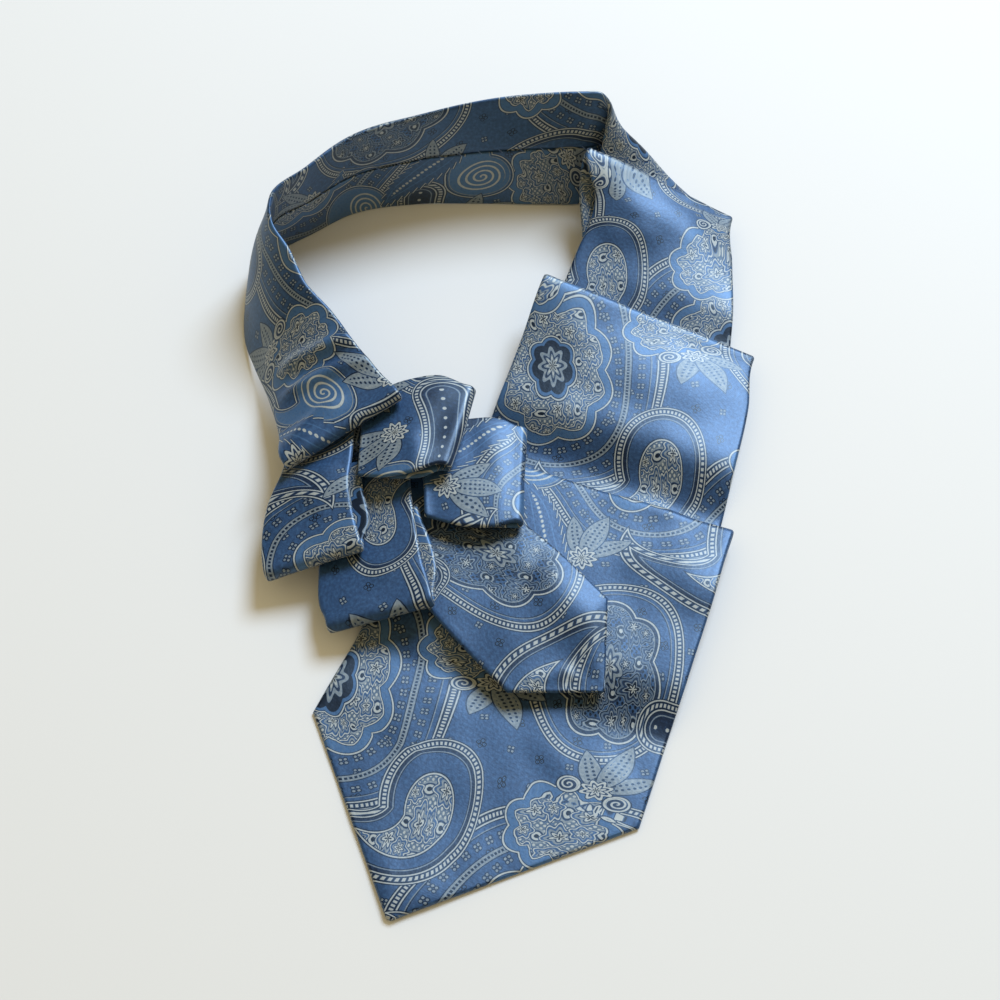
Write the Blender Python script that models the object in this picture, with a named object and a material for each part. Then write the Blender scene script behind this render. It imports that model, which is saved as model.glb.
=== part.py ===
"""Silk cravat: one wide necktie folded by hand and laid on a table.

The blade lies flat, two knife pleats climb from it to the neck, the neck band stands on its edge
round the back, and the narrow half is folded back and forth into a ruffle that ends in the tail.
Every stretch of the tie is a wall of cloth lofted through cross-sections. Lengths are millimetres
in the tables and metres in the meshes. +Z is up, +Y is the back of the neck.
"""
import math

import bmesh
import bpy
import numpy as np

# ---------------------------------------------------------------- driving sizes, mm
MM = 0.001
CLOTH = 2.0               # silk, interlining and turned-in flaps, pressed together
GAP = 0.3                 # air between one layer and the next
LAYER = CLOTH + GAP       # from the middle of one layer to the middle of the next
FLAT = CLOTH / 2          # height of a layer that lies on the table
EDGE = 0.2                # height of an edge that stands on the table

SECTION_STEP = 9.0        # longest way between two sections
FOLD_STEPS = 6            # sections in the half turn of a fold
EDGE_INSETS = (0.3, 1.0)  # where the rounded edge has its points, measured in from the edge
NARROW = 0.1              # share of a narrow section that a whole millimetre of inset takes
SEAM_HALF = 0.05          # half the width of the reverse seam, in half widths of the band
SEAM_DEPTH = 0.5

PRESSED = LAYER / 2       # radius of a fold that is pressed flat
SOFT = 1.6                # radius of a pleat's soft fold
SPRUNG = 2.0              # radius of a loop's sprung fold

# ---------------------------------------------------------------- sections
# A row is one section of the tie: its left and right edge as a wearer of the tie would run along
# it from the blade to the tail with the face up, then how far its middle bows out on the face
# side, and the radius where the cloth turns over in a fold (0 where it runs on, CORNER where the
# edge turns a corner). A fold's edges are given at its outermost line.
CORNER = -1
COLUMNS = ("section", "left", "right", "bow", "turn")

BLADE = (
    ("tip",          (-28.9, -139.2, FLAT), (-27.7, -139.8, FLAT), 0, CORNER),
    ("shoulders",    (-52.8, -77.3, FLAT),  (41.4, -113.2, FLAT),  0, CORNER),
    ("flat",         (-47.0, -65.0, FLAT),  (45.8, -101.0, FLAT),  0, 0),
    ("foot",         (-42.0, -54.5, FLAT),  (50.2, -88.5, FLAT),   0, 0),
    ("over pleat",   (-35.2, -39.0, 5.8),   (56.2, -72.5, 5.8),    0, 0),
    ("crest",        (-31.8, -31.8, 6.2),   (59.2, -64.0, 6.3),    0, 0),
    ("slope",        (-20.5, -9.5, 6.4),    (66.4, -44.0, 6.7),    0, 0),
    ("top fold",     (-8.0, 13.0, 5.1),     (75.0, -18.5, 5.6),    0, SOFT),
    ("return",       (-16.0, -5.0, 3.4),    (69.0, -35.0, 3.7),    0, 0),
    ("return end",   (-20.5, -33.0, 3.4),   (60.5, -59.0, 3.4),    0, 0),
)
PLEAT_LOWER = (
    ("return end",   (-21.4, -34.9, 3.45),  (59.9, -60.9, 3.45),   0, 0),
    ("hidden fold",  (-24.0, -43.5, 2.2),   (57.3, -69.0, 2.2),    0, PRESSED),
    ("under blade",  (-12.0, -6.0, FLAT),   (65.5, -37.0, FLAT),   0, 0),
    ("foot",         (-3.5, 20.5, FLAT),    (72.0, -13.0, FLAT),   0, 0),
    ("over pleat",   (1.8, 34.0, 5.8),      (76.8, 4.0, 5.8),      0, 0),
    ("slope",        (9.0, 54.0, 10.5),     (83.5, 29.0, 6.6),     0.8, 0),
    ("top fold",     (17.2, 76.8, 17.5),    (87.2, 50.0, 6.0),     0, SOFT),
    ("return",       (13.5, 61.0, 11.0),    (82.0, 31.0, 4.3),     0, 0),
    ("return end",   (12.0, 44.5, 5.2),     (78.9, 19.0, 3.5),     0, 0),
)
PLEAT_UPPER = (
    ("return end",   (11.4, 42.5, 4.5),     (78.3, 17.0, 3.45),    0, 0),
    ("hidden fold",  (9.2, 34.0, 2.8),      (76.1, 8.5, 2.2),      0, PRESSED),
    ("under pleat",  (15.0, 54.0, 3.5),     (78.5, 34.0, FLAT),    0, 0),
    ("foot",         (21.0, 73.0, 6.5),     (80.0, 54.0, FLAT),    0, 0),
    ("over neck",    (27.5, 90.0, 10.5),    (82.0, 71.0, 5.5),     0.5, 0),
    ("slope",        (35.3, 111.0, 19.0),   (83.3, 92.0, 6.6),     0.8, 0),
    ("top fold",     (32.6, 127.5, 26.0),   (84.6, 112.8, 6.0),    0, SOFT),
    ("return",       (30.2, 119.0, 18.5),   (81.5, 96.0, 4.3),     0, 0),
    ("return end",   (31.0, 101.0, 10.0),   (79.5, 84.0, 3.7),     0, 0),
)
NECK_RIGHT = (
    ("start",        (35.5, 104.0, 7.5),    (78.0, 88.0, FLAT),    0, 0),
    ("under pleat",  (37.0, 118.0, 14.0),   (80.0, 105.0, FLAT),   0, 0),
    ("leaves pleat", (37.6, 128.7, 22.4),   (76.0, 123.0, FLAT),   1.6, 0),
    ("twist",        (39.2, 133.8, 30.5),   (64.0, 131.5, 0.6),    3.5, 0),
    ("corner",       (40.0, 138.2, 38.0),   (52.0, 131.0, 0.3),    3.0, 0),
    ("turned",       (37.5, 139.8, 40.8),   (41.5, 128.0, EDGE),   1.5, 0),
    ("band",         (31.5, 139.7, 41.4),   (31.5, 126.1, EDGE),   0, 0),
)
NECK_BACK = (
    ("right end",    (31.0, 139.7, 41.4),   (31.0, 126.1, EDGE),   0, 0),
    ("right",        (16.1, 138.8, 41.5),   (16.7, 125.9, EDGE),   0, 0),
    ("middle",       (-4.7, 135.3, 41.5),   (-6.9, 126.3, EDGE),   0, 0),
    ("left",         (-27.6, 127.5, 41.5),  (-29.0, 126.0, EDGE),  0, 0),
    ("far left",     (-49.4, 117.8, 41.0),  (-51.0, 121.5, EDGE),  0, 0),
    ("left end",     (-62.8, 105.4, 40.0),  (-64.8, 112.4, EDGE),  0, 0),
)
NECK_LEFT = (
    ("band",         (-63.0, 105.1, 40.0),  (-65.0, 112.1, EDGE),  0, 0),
    ("corner",       (-74.0, 93.5, 39.0),   (-76.8, 103.0, EDGE),  1.0, 0),
    ("twist",        (-73.5, 83.5, 37.2),   (-83.0, 93.5, EDGE),   3.0, 0),
    ("leaning",      (-67.2, 74.2, 34.2),   (-85.4, 80.0, 0.4),    4.0, 0),
    ("side",         (-61.0, 62.5, 30.2),   (-84.8, 63.0, 0.7),    3.5, 0),
    ("lifting",      (-52.5, 53.0, 27.6),   (-80.3, 48.5, 3.0),    3.0, 0),
    ("falling",      (-43.0, 39.0, 26.3),   (-73.5, 31.0, 8.2),    2.5, 0),
    ("over ruffle",  (-35.0, 28.0, 26.3),   (-67.8, 12.0, 14.0),   2.0, 0),
    ("bottom fold",  (-28.8, 20.3, 25.3),   (-64.6, -1.2, 17.0),   0, SPRUNG),
    ("return",       (-37.0, 30.0, 23.5),   (-65.0, 13.0, 13.5),   0, 0),
)
LOOP_LEFT_UPPER = (
    ("root",         (-44.0, 14.0, 16.6),   (-65.0, 11.0, 10.6),   0, 0),
    ("leaves band",  (-44.0, 4.0, 17.3),    (-66.5, 1.0, 11.5),    0.5, 0),
    ("middle",       (-44.3, -8.0, 17.6),   (-70.0, -11.5, 11.2),  1.5, 0),
    ("low",          (-42.0, -20.5, 16.8),  (-71.0, -25.0, 9.8),   0.8, 0),
    ("fold",         (-39.2, -29.4, 15.1),  (-68.8, -36.6, 9.0),   0, SPRUNG),
    ("back",         (-37.8, -19.0, 13.4),  (-69.0, -25.0, 7.2),   0, 0),
    ("under",        (-40.5, -6.5, 13.8),   (-68.0, -9.0, 7.2),    0, 0),
    ("end",          (-41.5, 3.0, 14.2),    (-65.5, 1.0, 8.0),     0, 0),
)
LOOP_RIGHT_UPPER = (
    ("root",         (-41.5, 25.5, 17.6),   (-42.0, -4.5, 17.0),   0, 0),
    ("leaves band",  (-27.3, 30.3, 20.6),   (-32.9, -6.8, 20.0),   0.4, 0),
    ("middle",       (-17.1, 31.5, 21.6),   (-24.0, -5.7, 21.4),   0.5, 0),
    ("fold",         (-5.8, 26.8, 20.0),    (-13.4, -3.7, 20.0),   0, SPRUNG),
    ("under",        (-17.2, 30.3, 17.6),   (-22.3, -5.7, 17.8),   0, 0),
    ("end",          (-27.0, 29.3, 16.9),   (-32.0, -5.2, 16.6),   0, 0),
)
LOOP_LEFT_LOWER = (
    ("root",         (-27.0, 8.0, 13.6),    (-49.0, 2.0, 9.0),     0, 0),
    ("middle",       (-24.6, -14.0, 13.8),  (-53.2, -33.8, 7.9),   0, 0),
    ("low",          (-21.5, -32.2, 14.6),  (-52.0, -46.3, 8.4),   0, 0),
    ("fold",         (-17.3, -47.8, 13.4),  (-49.2, -53.4, 7.2),   0, SPRUNG),
    ("back",         (-16.8, -35.2, 12.0),  (-49.8, -43.9, 5.6),   0, 0),
    ("end",          (-23.5, -12.0, 11.4),  (-46.0, -20.0, 6.2),   0, 0),
)
LOOP_RIGHT_LOWER = (
    ("root",         (-23.0, 17.5, 14.2),   (-21.0, -17.5, 14.2),  0, 0),
    ("middle",       (-9.0, 18.8, 15.1),    (-7.0, -22.3, 15.8),   0.3, 0),
    ("right",        (2.0, 19.2, 14.9),     (1.5, -22.3, 16.0),    0.5, 0),
    ("fold",         (10.5, 16.2, 12.9),    (8.6, -20.8, 14.3),    0, SOFT),
    ("under",        (-1.0, 17.7, 11.0),    (-1.0, -20.3, 12.5),   0, 0),
    ("end",          (-12.0, 16.2, 11.4),   (-12.0, -18.3, 12.3),  0, 0),
)
TAIL = (
    ("root",         (-28.0, 8.0, 8.9),     (-21.0, -44.5, 8.4),   0, 0),
    ("leaves ruffle", (3.5, -12.0, 9.8),    (-18.5, -47.9, 8.6),   0, 0),
    ("middle",       (18.0, -25.5, 9.9),    (-6.5, -62.3, 8.0),    0, 0),
    ("shoulders",    (34.6, -44.2, 9.7),    (4.3, -73.8, 6.9),     0, CORNER),
    ("tip",          (32.9, -73.3, 7.1),    (32.3, -73.9, 7.1),    0, CORNER),
)

# ---------------------------------------------------------------- hidden core of the ruffle, mm
CORE_CENTRE = (-50.0, 18.0)
CORE_HALF = (13.0, 11.0)
CORE_TURN = math.radians(28)
CORE_LAYERS = 5
CORE_LAYER_HEIGHT = 2.7
CORE_GROOVE = 0.7
CORE_LEAN = 0.27          # rise of the core's top per mm along X
CORE_SIDES = 20

# ---------------------------------------------------------------- finishes
SILK_FACE = ((0.105, 0.230, 0.420, 1.0), 0.38)
SILK_REVERSE = ((0.060, 0.110, 0.220, 1.0), 0.50)


def unit(vector):
    """A vector of length 1 in the same direction."""
    return vector / np.linalg.norm(vector)


def silk(name, finish):
    """A Principled material with the cloth's colour and roughness."""
    colour, roughness = finish
    material = bpy.data.materials.new(name)
    material.use_nodes = True
    shader = material.node_tree.nodes["Principled BSDF"]
    shader.inputs["Base Color"].default_value = colour
    shader.inputs["Roughness"].default_value = roughness
    shader.inputs["Metallic"].default_value = 0.0
    return material


def rows_of(table):
    """A table's rows as dictionaries of its named columns, edges as arrays."""
    rows = [dict(zip(COLUMNS, row)) for row in table]
    for row in rows:
        row["left"] = np.array(row["left"], float)
        row["right"] = np.array(row["right"], float)
    return rows


def fold_stations(row, before, after):
    """The half turn of a fold, from the upper layer round to the lower one."""
    middle = (row["left"] + row["right"]) / 2
    neighbours = sum(r["left"] + r["right"] for r in (before, after)) / 4
    chord = unit(row["right"] - row["left"])
    out = middle - neighbours
    out = unit(out - chord * (out @ chord))
    up = np.cross(chord, out)
    up = up if up[2] > 0 else -up
    stations = []
    for step in range(FOLD_STEPS + 1):
        angle = math.pi * step / FOLD_STEPS
        shift = (up * math.cos(angle) + out * (math.sin(angle) - 1)) * row["turn"]
        run = out * math.cos(angle) - up * math.sin(angle)
        stations.append({"left": row["left"] + shift, "right": row["right"] + shift,
                         "bow": 0.0, "run": run, "corner": False})
    return stations


def stations_of(table):
    """The sections that a table names, with each fold opened into its half turn."""
    rows = rows_of(table)
    stations = []
    for index, row in enumerate(rows):
        if row["turn"] > 0:
            stations += fold_stations(row, rows[index - 1], rows[index + 1])
        else:
            stations.append({"left": row["left"], "right": row["right"], "bow": row["bow"],
                             "run": None, "corner": row["turn"] == CORNER})
    return stations


def slopes(stations, side):
    """How each edge leaves and reaches every station: a pair of directions for each."""
    points = [s[side] for s in stations]
    ways = [points[i + 1] - points[i] for i in range(len(points) - 1)]
    lengths = [np.linalg.norm(w) for w in ways]
    chords = [w / n for w, n in zip(ways, lengths)]
    pairs = []
    for i, station in enumerate(stations):
        reach = chords[max(i - 1, 0)]
        leave = chords[min(i, len(chords) - 1)]
        if station["run"] is not None:
            reach = leave = station["run"]
        elif not station["corner"] and 0 < i < len(stations) - 1:
            way = (reach * lengths[i] + leave * lengths[i - 1]) / (lengths[i - 1] + lengths[i])
            way[2] = steady_climb(way[2], reach[2], leave[2])
            reach = leave = way
        pairs.append((reach, leave))
    return pairs


def steady_climb(climb, before, after):
    """A slope at a station that lets the cloth rise or fall between two heights, never past them."""
    if before * after <= 0:
        return 0.0
    return math.copysign(min(abs(climb), 3 * abs(before), 3 * abs(after)), climb)


def hermite(start, end, leave, reach, t):
    """A point on the cubic that leaves start and reaches end in the given directions."""
    length = np.linalg.norm(end - start)
    return ((2 * t**3 - 3 * t**2 + 1) * start + (t**3 - 2 * t**2 + t) * length * leave
            + (-2 * t**3 + 3 * t**2) * end + (t**3 - t**2) * length * reach)


def sections_of(table):
    """Sections close enough for a smooth wall: arrays of left edges, right edges and bows."""
    stations = stations_of(table)
    left_slopes = slopes(stations, "left")
    right_slopes = slopes(stations, "right")
    lefts, rights, bows = [], [], []
    for i in range(len(stations) - 1):
        a, b = stations[i], stations[i + 1]
        longest = max(np.linalg.norm(b[side] - a[side]) for side in ("left", "right"))
        turning = a["run"] is not None and b["run"] is not None
        steps = 1 if turning else math.ceil(longest / SECTION_STEP)
        for step in range(steps):
            t = step / steps
            ease = t * t * (3 - 2 * t)
            lefts.append(hermite(a["left"], b["left"], left_slopes[i][1], left_slopes[i + 1][0], t))
            rights.append(hermite(a["right"], b["right"], right_slopes[i][1],
                                  right_slopes[i + 1][0], t))
            bows.append(a["bow"] * (1 - ease) + b["bow"] * ease)
    lefts.append(stations[-1]["left"])
    rights.append(stations[-1]["right"])
    bows.append(stations[-1]["bow"])
    return np.array(lefts), np.array(rights), np.array(bows)


def across_of(width, inner):
    """Places across a section from -1 to 1, with the wall's half thickness at each."""
    insets = [0.0] + [min(inset, width * NARROW * inset) for inset in EDGE_INSETS]
    edge = [-1 + 2 * inset / width for inset in insets]
    places = edge + list(inner) + [-place for place in reversed(edge)]
    radius = CLOTH / 2
    round_in = [math.sqrt(max(0.0, radius**2 - (radius - inset) ** 2)) for inset in (0.0,) + EDGE_INSETS]
    halves = round_in + [radius] * len(inner) + list(reversed(round_in))
    return np.array(places), np.array(halves)


def middle_surface(table, inner):
    """Grid of points through the middle of the cloth, one line for each section."""
    lefts, rights, bows = sections_of(table)
    mids = (lefts + rights) / 2
    runs = np.gradient(mids, axis=0)
    grid, halves = [], []
    for left, right, bow, run in zip(lefts, rights, bows, runs):
        chord = right - left
        places, half = across_of(np.linalg.norm(chord), inner)
        face = unit(np.cross(chord, run))
        line = [left + chord * (u + 1) / 2 + face * bow * (1 - u * u) for u in places]
        grid.append(line)
        halves.append(half)
    return np.array(grid), np.array(halves)


def cloth_wall(name, table, inner_points, material, seam=False):
    """One stretch of the tie: a wall lofted through rings round its sections."""
    inner = list(np.linspace(-1, 1, inner_points + 2)[1:-1])
    if seam:
        inner = sorted(set(inner + [-SEAM_HALF, 0.0, SEAM_HALF]))
    grid, halves = middle_surface(table, inner)
    along = np.gradient(grid, axis=0)
    across = np.gradient(grid, axis=1)
    face = np.cross(across, along)
    face /= np.linalg.norm(face, axis=2, keepdims=True)
    offset = face * halves[:, :, None]
    outer = grid + offset
    reverse = grid - offset
    if seam:
        middle = inner.index(0.0) + 1 + len(EDGE_INSETS)
        reverse[:, middle] += face[:, middle] * SEAM_DEPTH
    mesh = bmesh.new()
    rings = []
    for outer_line, reverse_line in zip(outer, reverse):
        ring = list(outer_line) + list(reverse_line[-2:0:-1])
        rings.append([mesh.verts.new(point * MM) for point in ring])
    count = len(rings[0])
    for ring, following in zip(rings, rings[1:]):
        for k in range(count):
            j = (k + 1) % count
            mesh.faces.new((ring[k], ring[j], following[j], following[k]))
    for ring in (rings[0], rings[-1]):
        close_end(mesh, ring)
    return finish(name, mesh, material)


def close_end(mesh, ring):
    """Closes a wall's end with a strip of faces between its face side and its reverse."""
    last = len(ring) // 2
    for k in range(last):
        corners = [ring[k], ring[k + 1], ring[-k - 1], ring[-k % len(ring)]]
        if k == 0:
            corners = [ring[0], ring[1], ring[-1]]
        if k == last - 1:
            corners = [ring[k], ring[k + 1], ring[-k % len(ring)]]
        mesh.faces.new(corners)


def finish(name, mesh, material):
    """Turns a bmesh into a named object with its faces pointing out."""
    bmesh.ops.recalc_face_normals(mesh, faces=mesh.faces)
    bmesh.ops.triangulate(mesh, faces=mesh.faces)
    data = bpy.data.meshes.new(name)
    mesh.to_mesh(data)
    mesh.free()
    data.shade_smooth()
    data.materials.append(material)
    piece = bpy.data.objects.new(name, data)
    bpy.context.collection.objects.link(piece)
    return piece


def ruffle_core(name, material):
    """The ruffle's hidden stitched layers: a rounded pile whose sides show each layer's edge."""
    mesh = bmesh.new()
    levels = [(0.0, CORE_GROOVE)]
    for layer in range(CORE_LAYERS):
        foot = layer * CORE_LAYER_HEIGHT
        levels += [(foot + CORE_LAYER_HEIGHT * 0.25, 0.0), (foot + CORE_LAYER_HEIGHT * 0.75, 0.0),
                   (foot + CORE_LAYER_HEIGHT, CORE_GROOVE)]
    rings = []
    for height, inset in levels:
        share = height / (CORE_LAYERS * CORE_LAYER_HEIGHT)
        ring = []
        for side in range(CORE_SIDES):
            angle = 2 * math.pi * side / CORE_SIDES
            x = (CORE_HALF[0] - inset) * math.cos(angle)
            y = (CORE_HALF[1] - inset) * math.sin(angle)
            place_x = x * math.cos(CORE_TURN) - y * math.sin(CORE_TURN)
            place_y = x * math.sin(CORE_TURN) + y * math.cos(CORE_TURN)
            lean = place_x * CORE_LEAN * share
            point = np.array((CORE_CENTRE[0] + place_x, CORE_CENTRE[1] + place_y, height + lean))
            ring.append(mesh.verts.new(point * MM))
        rings.append(ring)
    for ring, following in zip(rings, rings[1:]):
        for k in range(CORE_SIDES):
            j = (k + 1) % CORE_SIDES
            mesh.faces.new((ring[k], ring[j], following[j], following[k]))
    mesh.faces.new(rings[0][::-1])
    mesh.faces.new(rings[-1])
    return finish(name, mesh, material)


def main():
    for thing in list(bpy.data.objects):
        bpy.data.objects.remove(thing, do_unlink=True)
    face = silk("silk_face", SILK_FACE)
    reverse = silk("silk_reverse", SILK_REVERSE)
    cloth_wall("blade", BLADE, 7, face)
    cloth_wall("pleat_lower", PLEAT_LOWER, 5, face)
    cloth_wall("pleat_upper", PLEAT_UPPER, 5, face)
    cloth_wall("neck_right", NECK_RIGHT, 4, face, seam=True)
    cloth_wall("neck_back", NECK_BACK, 4, face, seam=True)
    cloth_wall("neck_left", NECK_LEFT, 4, face, seam=True)
    cloth_wall("loop_left_upper", LOOP_LEFT_UPPER, 3, face)
    cloth_wall("loop_right_upper", LOOP_RIGHT_UPPER, 3, face)
    cloth_wall("loop_left_lower", LOOP_LEFT_LOWER, 3, face)
    cloth_wall("loop_right_lower", LOOP_RIGHT_LOWER, 3, face)
    cloth_wall("tail", TAIL, 3, face)
    ruffle_core("ruffle_core", reverse)


main()
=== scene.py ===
# %% [markdown]
# # A silk cravat folded from one necktie
# A necktie is a long strip of silk, cut on the bias and folded round a soft interlining until its
# two flaps meet down the middle of the reverse. This one is folded again by hand: the wide blade
# and two knife pleats lie on the right, the middle stands up as a neck band, and the narrow half
# runs back and forth as a ruffle on the left. The lesson builds it stretch by stretch as one thin
# tube of silk, then weaves a paisley design into the cloth with shader nodes.

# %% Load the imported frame
import math
from functools import partialmethod
from itertools import zip_longest

import bmesh
import bpy
import numpy as np
from mathutils import Matrix, Vector


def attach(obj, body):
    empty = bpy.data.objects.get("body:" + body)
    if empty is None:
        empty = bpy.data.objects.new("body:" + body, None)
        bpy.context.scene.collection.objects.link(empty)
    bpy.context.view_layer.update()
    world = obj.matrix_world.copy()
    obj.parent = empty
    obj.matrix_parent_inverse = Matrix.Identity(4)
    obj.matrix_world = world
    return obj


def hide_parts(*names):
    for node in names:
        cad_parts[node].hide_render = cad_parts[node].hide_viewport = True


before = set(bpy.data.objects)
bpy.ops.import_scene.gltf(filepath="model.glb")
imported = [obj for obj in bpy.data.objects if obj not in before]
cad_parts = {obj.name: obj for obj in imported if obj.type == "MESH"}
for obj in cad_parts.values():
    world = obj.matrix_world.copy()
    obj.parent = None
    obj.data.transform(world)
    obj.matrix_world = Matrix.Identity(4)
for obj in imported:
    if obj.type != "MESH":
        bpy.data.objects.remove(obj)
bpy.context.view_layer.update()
MM = 0.001  # a millimetre, in the scene's metres
TAU = 2 * math.pi
print("solids:", ", ".join(sorted(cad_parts)))

# %% [markdown]
# ## The folds, as short tables
# The tie is known from its sections. A row gives one section: where its left and right edge lie in
# millimetres, how far its middle bows out on the face side, and the radius where the cloth turns
# over. A section that is plain leaves out the last two. A fold's edges are given at its outermost
# line. Reading a fold from two edges is how a tie maker thinks of it, and it keeps the numbers few.

# %% Name the columns and the kinds of fold
COLUMNS = ("section", "left", "right", "bow", "turn")
SIDES = ("left", "right")
CLOTH = 2.0       # the folded tie's thickness, mm
FLAT = CLOTH / 2  # height of the middle of a layer that lies on the table
EDGE = 0.2        # height of an edge that stands on the table
CORNER = -1       # marks a row where the edge turns a corner
PRESSED = 1.15    # radius of a fold that is pressed flat
SOFT = 1.6        # radius of a pleat's soft fold
SPRUNG = 2.0      # radius of a loop's sprung fold

# %% The blade and the two knife pleats
BLADE = (
    ("tip",        (-28.9, -139.2, FLAT), (-27.7, -139.8, FLAT), 0, CORNER),
    ("shoulders",  (-52.8, -77.3, FLAT),  (41.4, -113.2, FLAT),  0, CORNER),
    ("flat",       (-47.0, -65.0, FLAT),  (45.8, -101.0, FLAT)),
    ("foot",       (-42.0, -54.5, FLAT),  (50.2, -88.5, FLAT)),
    ("over pleat", (-35.2, -39.0, 5.8),   (56.2, -72.5, 5.8)),
    ("crest",      (-31.8, -31.8, 6.2),   (59.2, -64.0, 6.3)),
    ("slope",      (-20.5, -9.5, 6.4),    (66.4, -44.0, 6.7)),
    ("top fold",   (-8.0, 13.0, 5.1),     (75.0, -18.5, 5.6),    0, SOFT),
    ("return",     (-16.0, -5.0, 3.4),    (69.0, -35.0, 3.7)),
    ("return end", (-20.5, -33.0, 3.4),   (60.5, -59.0, 3.4)),
)
PLEAT_LOWER = (
    ("return end",  (-21.4, -34.9, 3.45), (59.9, -60.9, 3.45)),
    ("hidden fold", (-24.0, -43.5, 2.2),  (57.3, -69.0, 2.2), 0, PRESSED),
    ("under blade", (-12.0, -6.0, FLAT),  (65.5, -37.0, FLAT)),
    ("foot",        (-3.5, 20.5, FLAT),   (72.0, -13.0, FLAT)),
    ("over pleat",  (1.8, 34.0, 5.8),     (76.8, 4.0, 5.8)),
    ("slope",       (9.0, 54.0, 10.5),    (83.5, 29.0, 6.6),  0.8),
    ("top fold",    (17.2, 76.8, 17.5),   (87.2, 50.0, 6.0),  0, SOFT),
    ("return",      (13.5, 61.0, 11.0),   (82.0, 31.0, 4.3)),
    ("return end",  (12.0, 44.5, 5.2),    (78.9, 19.0, 3.5)),
)
PLEAT_UPPER = (
    ("return end",  (11.4, 42.5, 4.5),   (78.3, 17.0, 3.45)),
    ("hidden fold", (9.2, 34.0, 2.8),    (76.1, 8.5, 2.2),   0, PRESSED),
    ("under pleat", (15.0, 54.0, 3.5),   (78.5, 34.0, FLAT)),
    ("foot",        (21.0, 73.0, 6.5),   (80.0, 54.0, FLAT)),
    ("over neck",   (27.5, 90.0, 10.5),  (82.0, 71.0, 5.5),  0.5),
    ("slope",       (35.3, 111.0, 19.0), (83.3, 92.0, 6.6),  0.8),
    ("top fold",    (32.6, 127.5, 26.0), (84.6, 112.8, 6.0), 0, SOFT),
    ("return",      (30.2, 119.0, 18.5), (81.5, 96.0, 4.3)),
    ("return end",  (31.0, 101.0, 10.0), (79.5, 84.0, 3.7)),
)

# %% The neck band, from under the pleats round the back to the front
NECK_BAND = (
    ("start",        (35.5, 104.0, 7.5),   (78.0, 88.0, FLAT)),
    ("under pleat",  (37.0, 118.0, 14.0),  (80.0, 105.0, FLAT)),
    ("leaves pleat", (37.6, 128.7, 22.4),  (76.0, 123.0, FLAT),  1.6),
    ("twist",        (39.2, 133.8, 30.5),  (64.0, 131.5, 0.6),   3.5),
    ("corner",       (40.0, 138.2, 38.0),  (52.0, 131.0, 0.3),   3.0),
    ("turned",       (37.5, 139.8, 40.8),  (41.5, 128.0, EDGE),  1.5),
    ("right end",    (31.2, 139.7, 41.4),  (31.2, 126.1, EDGE)),
    ("right",        (16.1, 138.8, 41.5),  (16.7, 125.9, EDGE)),
    ("middle",       (-4.7, 135.3, 41.5),  (-6.9, 126.3, EDGE)),
    ("left",         (-27.6, 127.5, 41.5), (-29.0, 126.0, EDGE)),
    ("far left",     (-49.4, 117.8, 41.0), (-51.0, 121.5, EDGE)),
    ("left end",     (-62.9, 105.2, 40.0), (-64.9, 112.2, EDGE)),
    ("corner",       (-74.0, 93.5, 39.0),  (-76.8, 103.0, EDGE), 1.0),
    ("twist",        (-73.5, 83.5, 37.2),  (-83.0, 93.5, EDGE),  3.0),
    ("leaning",      (-67.2, 74.2, 34.2),  (-85.4, 80.0, 0.4),   4.0),
    ("side",         (-61.0, 62.5, 30.2),  (-84.8, 63.0, 0.7),   3.5),
    ("lifting",      (-52.5, 53.0, 27.6),  (-80.3, 48.5, 3.0),   3.0),
    ("falling",      (-43.0, 39.0, 26.3),  (-73.5, 31.0, 8.2),   2.5),
    ("over ruffle",  (-35.0, 28.0, 26.3),  (-67.8, 12.0, 14.0),  2.0),
    ("bottom fold",  (-28.8, 20.3, 25.3),  (-64.6, -1.2, 17.0),  0, SPRUNG),
    ("return",       (-37.0, 30.0, 23.5),  (-65.0, 13.0, 13.5)),
)

# %% The loops of the ruffle and the tail
LOOP_LEFT_UPPER = (
    ("root",        (-44.0, 14.0, 16.6),  (-65.0, 11.0, 10.6)),
    ("leaves band", (-44.0, 4.0, 17.3),   (-66.5, 1.0, 11.5),   0.5),
    ("middle",      (-44.3, -8.0, 17.6),  (-70.0, -11.5, 11.2), 1.5),
    ("low",         (-42.0, -20.5, 16.8), (-71.0, -25.0, 9.8),  0.8),
    ("fold",        (-39.2, -29.4, 15.1), (-68.8, -36.6, 9.0),  0, SPRUNG),
    ("back",        (-37.8, -19.0, 13.4), (-69.0, -25.0, 7.2)),
    ("under",       (-40.5, -6.5, 13.8),  (-68.0, -9.0, 7.2)),
    ("end",         (-41.5, 3.0, 14.2),   (-65.5, 1.0, 8.0)),
)
LOOP_RIGHT_UPPER = (
    ("root",        (-41.5, 25.5, 17.6), (-42.0, -4.5, 17.0)),
    ("leaves band", (-27.3, 30.3, 20.6), (-32.9, -6.8, 20.0), 0.4),
    ("middle",      (-17.1, 31.5, 21.6), (-24.0, -5.7, 21.4), 0.5),
    ("fold",        (-5.8, 26.8, 20.0),  (-13.4, -3.7, 20.0), 0, SPRUNG),
    ("under",       (-17.2, 30.3, 17.6), (-22.3, -5.7, 17.8)),
    ("end",         (-27.0, 29.3, 16.9), (-32.0, -5.2, 16.6)),
)
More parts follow.
